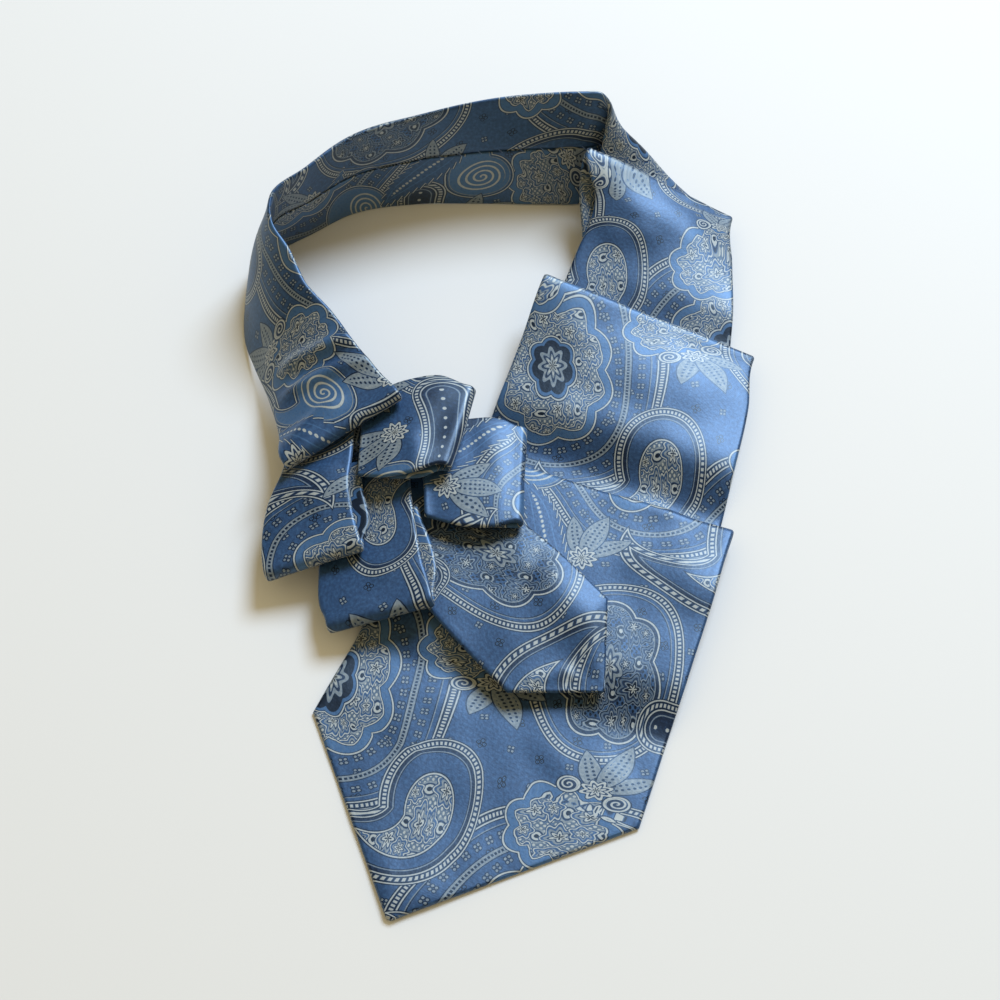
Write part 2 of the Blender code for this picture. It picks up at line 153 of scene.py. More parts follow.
LOOP_LEFT_LOWER = (
    ("root",   (-27.0, 8.0, 13.6),   (-49.0, 2.0, 9.0)),
    ("middle", (-24.6, -14.0, 13.8), (-53.2, -33.8, 7.9)),
    ("low",    (-21.5, -32.2, 14.6), (-52.0, -46.3, 8.4)),
    ("fold",   (-17.3, -47.8, 13.4), (-49.2, -53.4, 7.2), 0, SPRUNG),
    ("back",   (-16.8, -35.2, 12.0), (-49.8, -43.9, 5.6)),
    ("end",    (-23.5, -12.0, 11.4), (-46.0, -20.0, 6.2)),
)
LOOP_RIGHT_LOWER = (
    ("root",   (-23.0, 17.5, 14.2), (-21.0, -17.5, 14.2)),
    ("middle", (-9.0, 18.8, 15.1),  (-7.0, -22.3, 15.8), 0.3),
    ("right",  (2.0, 19.2, 14.9),   (1.5, -22.3, 16.0),  0.5),
    ("fold",   (10.5, 16.2, 12.9),  (8.6, -20.8, 14.3),  0, SOFT),
    ("under",  (-1.0, 17.7, 11.0),  (-1.0, -20.3, 12.5)),
    ("end",    (-12.0, 16.2, 11.4), (-12.0, -18.3, 12.3)),
)
TAIL = (
    ("root",          (-28.0, 8.0, 8.9),  (-21.0, -44.5, 8.4)),
    ("leaves ruffle", (3.5, -12.0, 9.8),  (-18.5, -47.9, 8.6)),
    ("middle",        (18.0, -25.5, 9.9), (-6.5, -62.3, 8.0)),
    ("shoulders",     (34.6, -44.2, 9.7), (4.3, -73.8, 6.9),  0, CORNER),
    ("tip",           (32.9, -73.3, 7.1), (32.3, -73.9, 7.1), 0, CORNER),
)

# %% [markdown]
# ## From rows to a smooth strip
# Between two rows each edge follows a cubic curve, so the cloth runs on without a kink. At a fold
# the edges go round a half circle instead. The climb of a curve is held between the heights at its
# ends, because cloth that overshoots would sink into the layer below it.

# %% Open each fold into its half turn
def unit(vector):
    return vector / np.linalg.norm(vector)


def units(vectors):
    """Every vector of an array, brought to length 1."""
    return vectors / np.linalg.norm(vectors, axis=-1, keepdims=True)


def fold_stations(row, before, after, steps=10):
    """The half turn of a fold, from the upper layer round to the lower one."""
    middle = (row["left"] + row["right"]) / 2
    neighbours = sum(r["left"] + r["right"] for r in (before, after)) / 4
    chord = unit(row["right"] - row["left"])
    out = middle - neighbours
    out = unit(out - chord * (out @ chord))
    up = np.cross(chord, out)
    up = up if up[2] > 0 else -up
    stations = []
    for angle in np.linspace(0, math.pi, steps + 1):
        shift = (up * math.cos(angle) + out * (math.sin(angle) - 1)) * row["turn"]
        run = out * math.cos(angle) - up * math.sin(angle)
        stations.append({"left": row["left"] + shift, "right": row["right"] + shift,
                         "bow": 0.0, "run": run, "corner": False})
    return stations


def stations_of(table):
    rows = [dict(zip_longest(COLUMNS, row, fillvalue=0)) for row in table]
    for row in rows:
        row.update({side: np.array(row[side], float) for side in SIDES})
    stations = []
    for index, row in enumerate(rows):
        if row["turn"] > 0:
            stations += fold_stations(row, rows[index - 1], rows[index + 1])
        else:
            stations.append({**row, "run": None, "corner": row["turn"] == CORNER})
    return stations


# %% Run each edge through the stations on smooth curves
def steady_climb(climb, before, after):
    """A slope that lets the cloth rise or fall between two heights, never past them."""
    if before * after <= 0:
        return 0.0
    return math.copysign(min(abs(climb), 3 * abs(before), 3 * abs(after)), climb)


def slopes(stations, side):
    """How an edge reaches and leaves every station."""
    points = [s[side] for s in stations]
    ways = [b - a for a, b in zip(points, points[1:])]
    lengths = [np.linalg.norm(w) for w in ways]
    chords = [w / n for w, n in zip(ways, lengths)]
    pairs = []
    for i, station in enumerate(stations):
        reach, leave = chords[max(i - 1, 0)], chords[min(i, len(chords) - 1)]
        if station["run"] is not None:
            reach = leave = station["run"]
        elif not station["corner"] and 0 < i < len(stations) - 1:
            way = (reach * lengths[i] + leave * lengths[i - 1]) / (lengths[i - 1] + lengths[i])
            way[2] = steady_climb(way[2], reach[2], leave[2])
            reach = leave = way
        pairs.append((reach, leave))
    return pairs


def hermite(start, end, leave, reach, t):
    length = np.linalg.norm(end - start)
    return ((2 * t**3 - 3 * t**2 + 1) * start + (t**3 - 2 * t**2 + t) * length * leave
            + (-2 * t**3 + 3 * t**2) * end + (t**3 - t**2) * length * reach)


APART = 1.6  # about how far one section lies from the next, mm


def sections_of(table):
    """Left edges, right edges and bows of all the sections."""
    stations = stations_of(table)
    ways = {side: slopes(stations, side) for side in SIDES}
    lines = {"left": [], "right": [], "bow": []}
    for i, (a, b) in enumerate(zip(stations, stations[1:])):
        longest = max(np.linalg.norm(b[side] - a[side]) for side in ways)
        turning = a["run"] is not None and b["run"] is not None
        count = 1 if turning else math.ceil(longest / APART)
        for t in np.arange(count) / count:
            for side, way in ways.items():
                lines[side].append(hermite(a[side], b[side], way[i][1], way[i + 1][0], t))
            ease = t * t * (3 - 2 * t)
            lines["bow"].append(a["bow"] * (1 - ease) + b["bow"] * ease)
    for key, line in lines.items():
        line.append(stations[-1][key])
    return [np.array(line) for line in lines.values()]


# %% [markdown]
# ## Creases
# Pressed silk is never flat. Each crease is a soft ridge or trough along a line on the cloth, given
# by where it starts and ends: how far across the tie, from -1 at the left edge to 1 at the right,
# and how far along the stretch, in millimetres. Its height fades out at both ends. Low waves in the
# interlining finish the surface, and satin shows both in its highlights.

# %% Tables of creases, one for each stretch
CREASES = {  # crease, start, end, height and half width
    "blade": (
        ("billow",         (0.35, 138), (1.3, 128), 1.7, 11.0),
        ("break",          (-0.9, 82),  (0.95, 80), 0.5, 6.0),
        ("left shoulder",  (-0.9, 50),  (-0.2, 72), 0.5, 7.0),
        ("lifted tip",     (-1.2, 9),   (1.2, 7),   0.8, 9.0),
        ("middle hollow",  (-0.7, 33),  (0.9, 38),  -0.3, 8.0),
        ("right side",     (0.3, 58),   (0.9, 66),  0.4, 7.0),
        ("under top fold", (0.1, 153),  (0.7, 149), 0.4, 4.0),
    ),
    "pleat_lower": (
        ("billow",       (-1.0, 114), (1.0, 108),  1.8, 14.0),
        ("lower swell",  (-1.3, 93),  (1.2, 89),   1.8, 9.0),
        ("left pull",    (-0.9, 128), (-0.2, 119), 0.4, 5.0),
        ("right dimple", (0.3, 124),  (0.9, 129),  -0.2, 6.0),
    ),
    "pleat_upper": (
        ("billow",    (-1.0, 102), (1.0, 94),  1.5, 12.0),
        ("left pull", (-0.8, 84),  (-0.1, 92), 0.5, 5.0),
    ),
    "neck_band": (
        ("front ridge high", (-1.3, 249), (0.6, 238),  2.5, 2.7),
        ("front trough",     (-1.1, 253), (0.4, 245),  -0.6, 2.2),
        ("front ridge low",  (-1.3, 259), (0.8, 249),  2.3, 2.6),
        ("hem ridge",        (-0.4, 263), (0.95, 273), 1.3, 3.6),
        ("front pull",       (0.1, 224),  (0.9, 238),  0.6, 4.0),
        ("back pucker",      (-0.7, 112), (0.5, 121),  0.5, 4.0),
        ("back ripple",      (-0.4, 150), (0.8, 158),  -0.4, 5.0),
        ("left bend",        (-0.8, 176), (0.6, 186),  -0.6, 5.0),
    ),
    "loop_left_upper": (
        ("top pull",  (-0.8, 12), (0.7, 17), 0.6, 3.5),
        ("side dent", (-0.3, 30), (0.9, 25), -0.5, 4.0),
    ),
    "loop_right_upper": (
        ("top pull",   (0.0, 15),  (0.95, 19), 0.6, 3.5),
        ("front dent", (-0.6, 26), (0.6, 24),  -0.4, 4.0),
    ),
    "loop_left_lower": (("side swell", (-1.1, 42), (0.0, 44), 0.6, 4.0),),
    "loop_right_lower": (("side swell", (-1.0, 20), (0.1, 23), 0.5, 4.0),),
    "tail": (
        ("edge roll",    (-0.66, 14), (-0.5, 76), 1.7, 8.0),
        ("middle swell", (-0.9, 52),  (0.9, 46),  0.9, 8.0),
        ("corner pull",  (0.1, 70),   (0.9, 62),  0.5, 4.0),
        ("left dent",    (-0.9, 34),  (-0.1, 40), -0.6, 4.0),
    ),
}
HALF_WAY = 20.0   # mm of way that half the tie's width counts as
FADE = 0.4        # share of a crease over which it fades at each end
FADE_LEFT = 0.15  # share of the fading that is left at the very end


def crease_heights(name, across, along):
    """How far every point of a stretch is lifted off its plain form, mm."""
    lift = np.zeros(np.broadcast(across, along).shape)
    scale = np.array([HALF_WAY, 1.0])
    for _, start, end, height, half_width in CREASES.get(name, ()):
        start, end = np.array(start) * scale, np.array(end) * scale
        way = end - start
        x, y = across * HALF_WAY - start[0], along - start[1]
        t = (x * way[0] + y * way[1]) / (way @ way)
        off = np.abs(x * way[1] - y * way[0]) / np.linalg.norm(way)
        ends = np.clip(np.minimum(t, 1 - t) / FADE + FADE_LEFT, 0, 1)
        ridge = height * np.exp(-(off / half_width) ** 2)
        lift += ridge * ends**2 * (3 - 2 * ends)
    return lift


# %% Low waves of the interlining
WAVES = (  # height, length across, length along, phase
    (0.15, 71.0, 93.0, 0.4),
    (0.13, -44.0, 67.0, 2.1),
    (0.08, 29.0, -37.0, 4.0),
    (0.04, -17.0, -23.0, 1.2),
)


def waves(across_mm, along):
    """Uneven waves that lie below the plain form and just reach it, mm."""
    return sum(height * (np.sin(TAU * (across_mm / wide + along / long) + phase) - 1)
               for height, wide, long, phase in WAVES)


# %% [markdown]
# ## A tube of silk
# Each stretch starts as a flat grid with one column for each place round the tie: from the seam
# along one flap to the edge, across the face, and back along the other flap. Its UV map keeps the
# flat cloth's own coordinates, so the design runs on round the edges and past the folds. The grid's
# points are then laid on the sections. The seam stays open as a slit with one flap's folded lip
# over the other flap, as on the real reverse, and the ends are rounded off and closed.

# %% Places round a section
RIM = np.radians([0, 22, 45, 68, 90])  # points round a rolled edge
LIP_OVER = ((-0.45, 0.72), (-0.62, 0.92), (-0.5, 1.1), (-0.1, 1.18), (0.5, 1.14), (1.4, 1.04))
LIP_UNDER = ((-2.0, 0.99), (-1.4, 0.86), (-0.9, 0.62), (-0.2, 0.5), (0.4, 0.46))
LAP = 2.5                 # half width of the strip that the lips take
ROOM = CLOTH / 2 + 0.05   # least length of a stretch's first and last step
NEAR = 0.02               # share across that gives the way across
CALM = 3                  # mm at each end with fading creases and waves
WALL = 1.2                # height over which the face passes to the reverse


def places_round(width, inner, end):
    """Place across (mm) and height off the cloth's middle for each column of one section.

    inner sets the number of columns, and end is the share of the thickness that is left where a
    stretch rounds off. A section under 10 mm wide rolls less and laps less.
    """
    half, radius = width / 2, CLOTH / 2
    roll = radius * min(1.0, width * 0.1)
    lap = min(LAP, half * 0.25)
    row = list(np.linspace(lap, half - roll, inner + 2)[:-1])
    rim = [(half - roll * (1 - math.cos(a)), radius * math.sin(a)) for a in RIM]
    tuck = lap / LAP
    ring = [(x * tuck, -h * radius) for x, h in LIP_OVER]
    ring += [(x, -radius) for x in row] + [(x, -h) for x, h in reversed(rim)] + rim[1:]
    ring += [(x, radius) for x in reversed(row)]
    ring += [(lap / 2, radius), (0.0, radius), (-lap / 2, radius)]
    ring += [(-x, radius) for x in row] + [(-x, h) for x, h in reversed(rim)]
    ring += [(-x, -h) for x, h in rim[1:]] + [(-x, -radius) for x in reversed(row)]
    ring += [(x * tuck, -h * radius) for x, h in LIP_UNDER]
    places = np.array(ring)
    places[:, 1] *= end
    return places


def face_middle(inner):
    """The column that runs down the middle of the face."""
    return len(LIP_OVER) + 2 * (inner + 1) + 2 * len(RIM)


# %% Round off both ends of a stretch
def with_ends(lefts, rights, bows):
    """Adds close sections at both ends, and gives the share of the thickness left at each."""
    insets, shares = CLOTH / 2 * (1 - np.cos(RIM)), np.sin(RIM)
    mids = (lefts + rights) / 2
    first, last = (max(np.linalg.norm(mids[a] - mids[b]), ROOM) for a, b in ((1, 0), (-1, -2)))
    stops = np.arange(len(bows))
    at = np.concatenate([insets / first, stops[1:-1], stops[-1] - insets[::-1] / last])
    ends = np.concatenate([shares, np.ones(len(bows) - 2), shares[::-1]])
    lines = [np.stack([np.interp(at, stops, line[:, k]) for k in range(3)], axis=1)
             for line in (lefts, rights)]
    return lines[0], lines[1], np.interp(at, stops, bows), ends


# %% Lay the columns on the sections
def middle_of(section, share):
    """Points on the cloth's middle surface at shares across, -1 to 1, of every section."""
    half = (section["widths"] / 2)[:, None, None]
    lift = section["bows"][:, None] * (1 - share * share)
    return (section["mids"][:, None] + section["chords"][:, None] * (share[..., None] * half)
            + section["bow_ways"][:, None] * lift[..., None])


def tube_points(name, table, inner, cut_start):
    """Points, flat cloth coordinates (mm) and face directions: one row for each section."""
    lefts, rights, bows, ends = with_ends(*sections_of(table))
    mids, chords = (lefts + rights) / 2, rights - lefts
    runs = units(np.gradient(mids, axis=0))
    widths = np.linalg.norm(chords, axis=1)
    chords /= widths[:, None]
    section = {"mids": mids, "chords": chords, "widths": widths, "bows": bows,
               "bow_ways": units(np.cross(chords, runs))}

    rounds = np.array([places_round(w, inner, e) for w, e in zip(widths, ends)])
    across, height = rounds[:, :, 0], rounds[:, :, 1]
    share = across / (widths[:, None] / 2)
    middle = middle_of(section, share)
    side_way = middle_of(section, share + NEAR) - middle_of(section, share - NEAR)
    rows = np.arange(len(mids))
    ahead, behind = (middle_of({k: v[near] for k, v in section.items()}, share)
                     for near in (np.minimum(rows + 1, rows[-1]), np.maximum(rows - 1, 0)))
    face = units(np.cross(side_way, ahead - behind))

    along = np.concatenate([[0], np.cumsum(np.linalg.norm(np.diff(mids, axis=0), axis=1))])
    slant = (chords * runs).sum(axis=1)
    cut_along = along[:, None] + across * slant[:, None]
    calm = np.clip(np.minimum(along, along[-1] - along) / CALM, 0, 1)[:, None]
    crease = crease_heights(name, share, cut_along)
    uneven = crease + waves(across, cut_along + cut_start)
    front = np.clip(height / WALL + 0.5, 0, 1)  # troughs and waves stay in the face wall
    lift = front * uneven + (1 - front) * np.maximum(crease, 0)
    points = middle + face * (height + lift * calm)[..., None]
    points[..., 2] = np.maximum(points[..., 2], 0.0)  # nothing sinks into the table

    steps = np.linalg.norm(np.diff(rounds, axis=1), axis=2)
    cut_across = np.concatenate([np.zeros((len(rows), 1)), np.cumsum(steps, axis=1)], axis=1)
    cut_across -= cut_across[:, face_middle(inner)][:, None]
    return points, np.stack([cut_across, cut_along + cut_start], axis=2), face


# %% Build a stretch from a flat grid
pieces, flat_cuts, laid = {}, {}, {}


def show(name, data):
    """Puts a new object with this mesh, lamp or lens into the scene."""
    made = bpy.data.objects.new(name, data)
    bpy.context.scene.collection.objects.link(made)
    return made


def mesh_from(name, shaped):
    mesh = bpy.data.meshes.new(name)
    shaped.to_mesh(mesh)
    shaped.free()
    return mesh


def add_piece(name, shaped):
    """Turns a finished bmesh into a smooth-shaded piece."""
    mesh = mesh_from(name, shaped)
    mesh.shade_smooth()
    pieces[name] = show(name + "_silk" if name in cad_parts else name, mesh)


def silk_stretch(name, table, inner, cut_start):
    """Sews one stretch."""
    points, cut, face = tube_points(name, table, inner, cut_start)
    rows, columns = points.shape[:2]
    sheet = bmesh.new()
    cloth_map = sheet.loops.layers.uv.new("cloth")
    bmesh.ops.create_grid(sheet, x_segments=columns - 1, y_segments=rows - 1, size=0.5)
    seats = {v: (round((v.co.y + 0.5) * (rows - 1)), round((v.co.x + 0.5) * (columns - 1)))
             for v in sheet.verts}
    for quad in sheet.faces:
        for loop in quad.loops:
            loop[cloth_map].uv = cut[seats[loop.vert]] * MM
    for vert, seat in seats.items():
        vert.co = Vector(points[seat]) * MM
    sheet.normal_update()
    inside = (rows // 2, face_middle(inner))
    middle = next(v for v, seat in seats.items() if seat == inside)
    if middle.normal.dot(Vector(face[inside])) < 0:
        bmesh.ops.reverse_faces(sheet, faces=sheet.faces)
    rims = [v for v, seat in seats.items() if seat[0] in (0, rows - 1)]
    bmesh.ops.remove_doubles(sheet, verts=rims, dist=1e-6)
    wide = cut[:, -1, 0] - cut[:, 0, 0]
    long = cut[:, inside[1], 1]
    flat_cuts[name] = {"flat": (float(wide.max()) * MM, float(long[-1] - long[0]) * MM),
                       "area": float((wide * np.gradient(long)).sum()) * MM * MM}
    laid[name] = points
    print(f"{name}: {len(sheet.faces)} faces, cut {wide.max():.0f} mm round, "
          f"{long[-1] - long[0]:.0f} mm along")
    add_piece(name, sheet)


# %% [markdown]
# ## The stretches, in the order they run along the tie
# `cut_start` is how far from the blade's tip a stretch begins on the flat tie. What lies between
# one stretch and the next is folded away inside the pleats and the ruffle.

# %% Sew the stretches
for stretch in (  # name, table, inner, cut_start
    ("blade", BLADE, 30, 0),
    ("pleat_lower", PLEAT_LOWER, 24, 228),
    ("pleat_upper", PLEAT_UPPER, 22, 398),
    ("neck_band", NECK_BAND, 16, 560),
    ("loop_left_upper", LOOP_LEFT_UPPER, 13, 985),
    ("loop_right_upper", LOOP_RIGHT_UPPER, 13, 1090),
    ("loop_left_lower", LOOP_LEFT_LOWER, 13, 1160),
    ("loop_right_lower", LOOP_RIGHT_LOWER, 13, 1265),
    ("tail", TAIL, 15, 1378),
):
    silk_stretch(*stretch)

# %% [markdown]
# ## The ruffle's hidden layers
# Under the loops the tie lies in stitched layers that no view shows whole. They are made as one
# rounded pile: a disc is extruded upwards level by level and drawn in between the layers, so its
# side shows the rolled edges one above another.

# %% Stack the layers
CORE_CENTRE = (-50.0, 18.0)
CORE_HALF = (13.0, 11.0)  # half its length and width
CORE_TURN = math.radians(28)
CORE_LEAN = 0.27          # rise of its top for each millimetre along X
CORE_CUT = 1300           # where its cloth lies on the flat tie
CORE_LAYERS = 5
LAYER_HEIGHT = 2.7
GROOVE = 0.7              # depth of the grooves between the layers
LEVELS = (0.02, 0.1, 0.22, 0.36, 0.5, 0.64, 0.78, 0.9, 0.98)  # of one layer, as shares


def layer_profile():
    """Height and inset of every level of the pile's side."""
    profile = []
    for layer in range(CORE_LAYERS):
        for share in LEVELS:
            rolled = GROOVE * (1 - math.sqrt(1 - (2 * share - 1) ** 2))
            profile.append(((layer + share) * LAYER_HEIGHT, rolled))
    return [(0.0, GROOVE)] + profile + [(CORE_LAYERS * LAYER_HEIGHT, GROOVE)]


def stacked_layers(name):
    pile = bmesh.new()
    cloth_map = pile.loops.layers.uv.new("cloth")
    level = bmesh.ops.create_circle(pile, cap_ends=True, segments=72, radius=1.0)["verts"]
    levels = [level]
    rim = list(pile.edges)
    for _ in layer_profile()[1:]:
        grown = bmesh.ops.extrude_edge_only(pile, edges=rim)["geom"]
        levels.append([g for g in grown if isinstance(g, bmesh.types.BMVert)])
        rim = [g for g in grown if isinstance(g, bmesh.types.BMEdge)
               and g.verts[0] in levels[-1] and g.verts[1] in levels[-1]]
    bmesh.ops.contextual_create(pile, geom=rim)
    turn = Matrix.Rotation(CORE_TURN, 2)
    for verts, (height, inset) in zip(levels, layer_profile()):
        half = (CORE_HALF[0] - inset, CORE_HALF[1] - inset)
        for vert in verts:
            place = turn @ Vector((vert.co.x * half[0], vert.co.y * half[1]))
            lean = place.x * CORE_LEAN * height / (CORE_LAYERS * LAYER_HEIGHT)
            spot = (CORE_CENTRE[0] + place.x, CORE_CENTRE[1] + place.y, height + lean)
            vert.co = Vector(spot) * MM
    bmesh.ops.recalc_face_normals(pile, faces=pile.faces)
    for face in pile.faces:
        for loop in face.loops:
            spot = loop.vert.co / MM
            cut = (spot.x + 0.6 * spot.z, CORE_CUT + spot.y + spot.z)
            loop[cloth_map].uv = (cut[0] * MM, cut[1] * MM)
    print(f"{name}: {len(pile.faces)} faces in {CORE_LAYERS} layers")
    add_piece(name, pile)


stacked_layers("ruffle_layers")

# %% [markdown]
# ## Slip stitches
# The two flaps are sewn together by one long loose thread. It shows on the reverse as short
# slanting stitches over the lip. Each stitch is a small rounded bar laid from one flap to the
# other, along the seam of the neck band, the only place where the reverse shows.

# %% Sew the seam
STITCH_PITCH = 5          # sections from one stitch to the next
STITCH_SLANT = 1          # sections that a stitch slants by
STITCH_THICK = 0.34 * MM
SEAM_END = 8              # sections at each end that have no stitch
OVER_LIP, UNDER_LIP = 3, -4   # the columns that a stitch joins


def slip_stitches(name, stretch):
    points = laid[stretch]
    thread = bmesh.new()
    for row in range(SEAM_END, len(points) - SEAM_END, STITCH_PITCH):
        start = Vector(points[row, OVER_LIP] * MM)
        end = Vector(points[row + STITCH_SLANT, UNDER_LIP] * MM)
        way = end - start
        ball = bmesh.ops.create_uvsphere(thread, u_segments=8, v_segments=6,
                                         radius=STITCH_THICK / 2)
        turn = way.to_track_quat("Z", "Y").to_matrix().to_4x4()
        pull = Matrix.Diagonal((1, 1, way.length / STITCH_THICK + 1, 1))
        place = Matrix.Translation((start + end) / 2) @ turn @ pull
        bmesh.ops.transform(thread, matrix=place, verts=ball["verts"])
    print(f"{name}: {len(thread.faces)} faces")
    add_piece(name, thread)


slip_stitches("slip_stitches", "neck_band")

# %% [markdown]
# ## The design in the weave
# A jacquard loom sets one kind of thread against another, from navy through the blue satin ground
# to silver and cream. So the whole design can be one number at each point of the cloth: the
# thread's lightness. Each motif is worked out from how far a point lies outside a simple outline,
# because that one distance gives the motif's area, its outlines and the beads along them. The
# design repeats, so every motif is measured from its nearest repeat.

# %% Sums on shader values
class Value:
    """A number at every point of a surface: a socket that takes part in sums."""

    def __init__(self, finish, socket):
        self.finish, self.socket = finish, socket

    def apply(self, operation, *others, clamp=False):
        """A math node whose first input is this value."""
        made = self.finish.node("ShaderNodeMath", {"operation": operation, "use_clamp": clamp},
                                dict(enumerate((self, *others))))
        return Value(self.finish, made.outputs[0])

    __add__, __sub__ = partialmethod(apply, "ADD"), partialmethod(apply, "SUBTRACT")
    __mul__, __abs__ = partialmethod(apply, "MULTIPLY"), partialmethod(apply, "ABSOLUTE")
    sine, cosine = partialmethod(apply, "SINE"), partialmethod(apply, "COSINE")
    least, most = partialmethod(apply, "MINIMUM"), partialmethod(apply, "MAXIMUM")
    angle = partialmethod(apply, "ARCTAN2")  # y.angle(x) is the way from the centre to x, y

    def wrap(self, half):
        """The value brought into the range from -half to half by whole repeats."""
        return self.apply("WRAP", half, -half)

    def times_add(self, factor, term, clamp=False):
        return self.apply("MULTIPLY_ADD", factor, term, clamp=clamp)

    def __rsub__(self, other):
        return self.times_add(-1.0, other)

    def reach(self, other):
        """The length of the arrow whose two legs are self and other."""
        squares = other.times_add(other, self * self)
        return squares.apply("SQRT")

    def ramp(self, stops):
        """Reads stops of place, tone and mask at this value."""
        grey = [(place, (tone,) * 3, mask) for place, tone, mask in stops]
        made = self.finish.node("ShaderNodeValToRGB", {"stops": grey}, {0: self})
        return Value(self.finish, made.outputs["Color"]), Value(self.finish, made.outputs["Alpha"])


# %% A finish under way
class Finish:
    """A material being made: one method adds any node, with its settings and its inputs."""

    def __init__(self, name):
        self.material = bpy.data.materials.new(name)
        self.material.use_nodes = True
        self.tree = self.material.node_tree
        self.shader = self.tree.nodes["Principled BSDF"]

    def node(self, kind, settings=None, inputs=None):
        made = self.tree.nodes.new(kind)
        for key, setting in (settings or {}).items():
            if key == "stops":
                self.set_stops(made.color_ramp, setting)
            else:
                setattr(made, key, setting)
        self.feed(made, inputs or {})
        return made

    def set_stops(self, ramp, stops):
        """Stops from low to high, each a place, a colour and how much of it shows."""
        while len(ramp.elements) < len(stops):
            ramp.elements.new(1.0)
        for index, (place, colour, shown) in enumerate(stops):
            ramp.elements[index].position = place
            ramp.elements[index].color = (*colour, shown)

    def raise_threads(self, strength, height):
        """Lets the light see a height, where 1 stands for 0.1 mm."""
        bump = self.node("ShaderNodeBump", inputs={"Strength": strength, "Distance": 0.0001,
                                                   "Height": height})
        self.feed(self.shader, {"Normal": bump.outputs[0]})

    def feed(self, node, inputs):
        for key, value in inputs.items():
            value = value.socket if isinstance(value, Value) else value
            if isinstance(value, bpy.types.NodeSocket):
                self.tree.links.new(value, node.inputs[key])
            else:
                node.inputs[key].default_value = value


# %% Thread tones, the repeat and soft edges
NAVY, DEEP, BLUE, SKY, GREY, SILVER, CREAM = 0.0, 0.16, 0.34, 0.46, 0.62, 0.8, 1.0
STEP = 0.16               # width of the step from thread to thread, mm
REPEAT = (104.0, 128.0)   # width and height of the repeat, mm
TURN = math.radians(27)   # its turn against the tie's own length
FLORET_GRID = (13.0, 12.8)  # small repeats that divide the large one
FLOWER_GRID = (10.4, 10.667)
DOT_GRID = (1.3, 1.28)


def inside(edge):
    """1 where edge is below 0 and 0 above it, with a soft step between them."""
    return edge.times_add(-1 / STEP, 0.5, clamp=True)


class Weave:
    """The thread tone so far. Each motif is woven over what is there."""

    def __init__(self, tone):
        self.tone = tone

    def lay(self, mask, tone):
        self.tone = (tone - self.tone).times_add(mask, self.tone)


def rings(weave, edge, *bands):
    """Bands of tone one inside another. Each starts at its distance from the outline, in mm,
    and runs inwards to the next; a band of None leaves what is below."""
    low, high = bands[-1][0] - 0.3, bands[0][0] + 0.3
    stops, outer = [], None
    for start, tone in bands:
        for at, own, other in ((start + STEP / 2, outer, tone), (start - STEP / 2, tone, outer)):
            shown = own if own is not None else other
            stops.append(((at - low) / (high - low), shown, float(own is not None)))
        outer = tone
    tone, mask = edge.times_add(1 / (high - low), -low / (high - low)).ramp(stops[::-1])
    weave.lay(mask, tone)


def turned(x, y, degrees):
    """Coordinates whose x axis is turned by this much."""
    cosine, sine = math.cos(math.radians(degrees)), math.sin(math.radians(degrees))
    return y.times_add(sine, x * cosine), x.times_add(-sine, y * cosine)


def about(place, centre, degrees=0, repeat=REPEAT):
    """Coordinates about the nearest repeat of a motif's centre, turned with the motif."""
    x = (place[0] - centre[0]).wrap(repeat[0] / 2)
    y = (place[1] - centre[1]).wrap(repeat[1] / 2)
    return turned(x, y, degrees) if degrees else (x, y)


# %% Beads and florets
def beads(weave, edge, along, half, pitch=1.25, tone=CREAM):
    """A row of short bars along the line where edge is 0."""
    bead = abs(along.wrap(pitch / 2)) - pitch * 0.3
    weave.lay(inside(bead.most(abs(edge) - half)), tone)


def rope(weave, edge, along, *below):
    """A row of light beads between two light lines, along the line where edge is 0."""
    rings(weave, edge, (1.75, NAVY), (1.5, CREAM), (1.05, NAVY), (0.75, DEEP), (-0.75, NAVY),
          (-1.05, CREAM), (-1.5, NAVY), *(below or ((-1.75, None),)))
    beads(weave, edge, along, 0.55)


def floret_row(weave, edge, along, pitch, size=0.6):
    """Four-petalled florets in a row along the line where edge is 0."""
    petals = (abs(edge) - size).reach(abs(along.wrap(pitch / 2)) - size)
    rings(weave, petals, (size * 1.1, NAVY), (size * 0.7, SILVER))


# %% Outlines of the motifs
def boteh(x, y, body, bend, tip):
    """How far a point is outside a teardrop with a curled tip.

    body is the radius of its round body, bend the radius that its spine curls round, and tip how
    far round that bend the tip reaches, in radians.
    """
    from_bend = x + bend
    turn = y.angle(from_bend)
    half = turn.times_add(-body / tip, body).least(turn.times_add(3 * body, body))
    horn = abs(from_bend.reach(y) - bend) - half
    return horn.least(x.reach(y) - body)


def leaf(x, y, long, wide):
    """How far a point is outside a leaf that runs from the centre along x."""
    t = x.times_add(2 / long, -1.0)
    return abs(y) - (t * t).times_add(-wide, wide)


def scallops(away, angle, radius, count, depth):
    """How far a point is outside a ring of scallops about a centre."""
    return abs((angle * (count / 2)).cosine()).times_add(-depth, away - radius)


# %% Flowers and spirals
def rosette(weave, away, angle, radius, petals, tone=SILVER):
    """A round flower: petals about an eye, each petal with a dark middle."""
    wave = (angle * petals).cosine()
    petal = wave.times_add(-0.16 * radius, away - 0.84 * radius)
    rings(weave, petal, (0.3, NAVY), (0.0, tone), (-0.24 * radius, DEEP), (-0.42 * radius, tone),
          (-0.55 * radius, CREAM), (-0.7 * radius, NAVY))


def spiral(weave, x, y, radius, pitch, half):
    """A light line, half wide to each side, that winds out from the centre to a radius."""
    away = x.reach(y)
    coil = abs(y.angle(x).times_add(-pitch / TAU, away).wrap(pitch / 2)) - half
    weave.lay(inside(coil.most(away - radius)), CREAM)


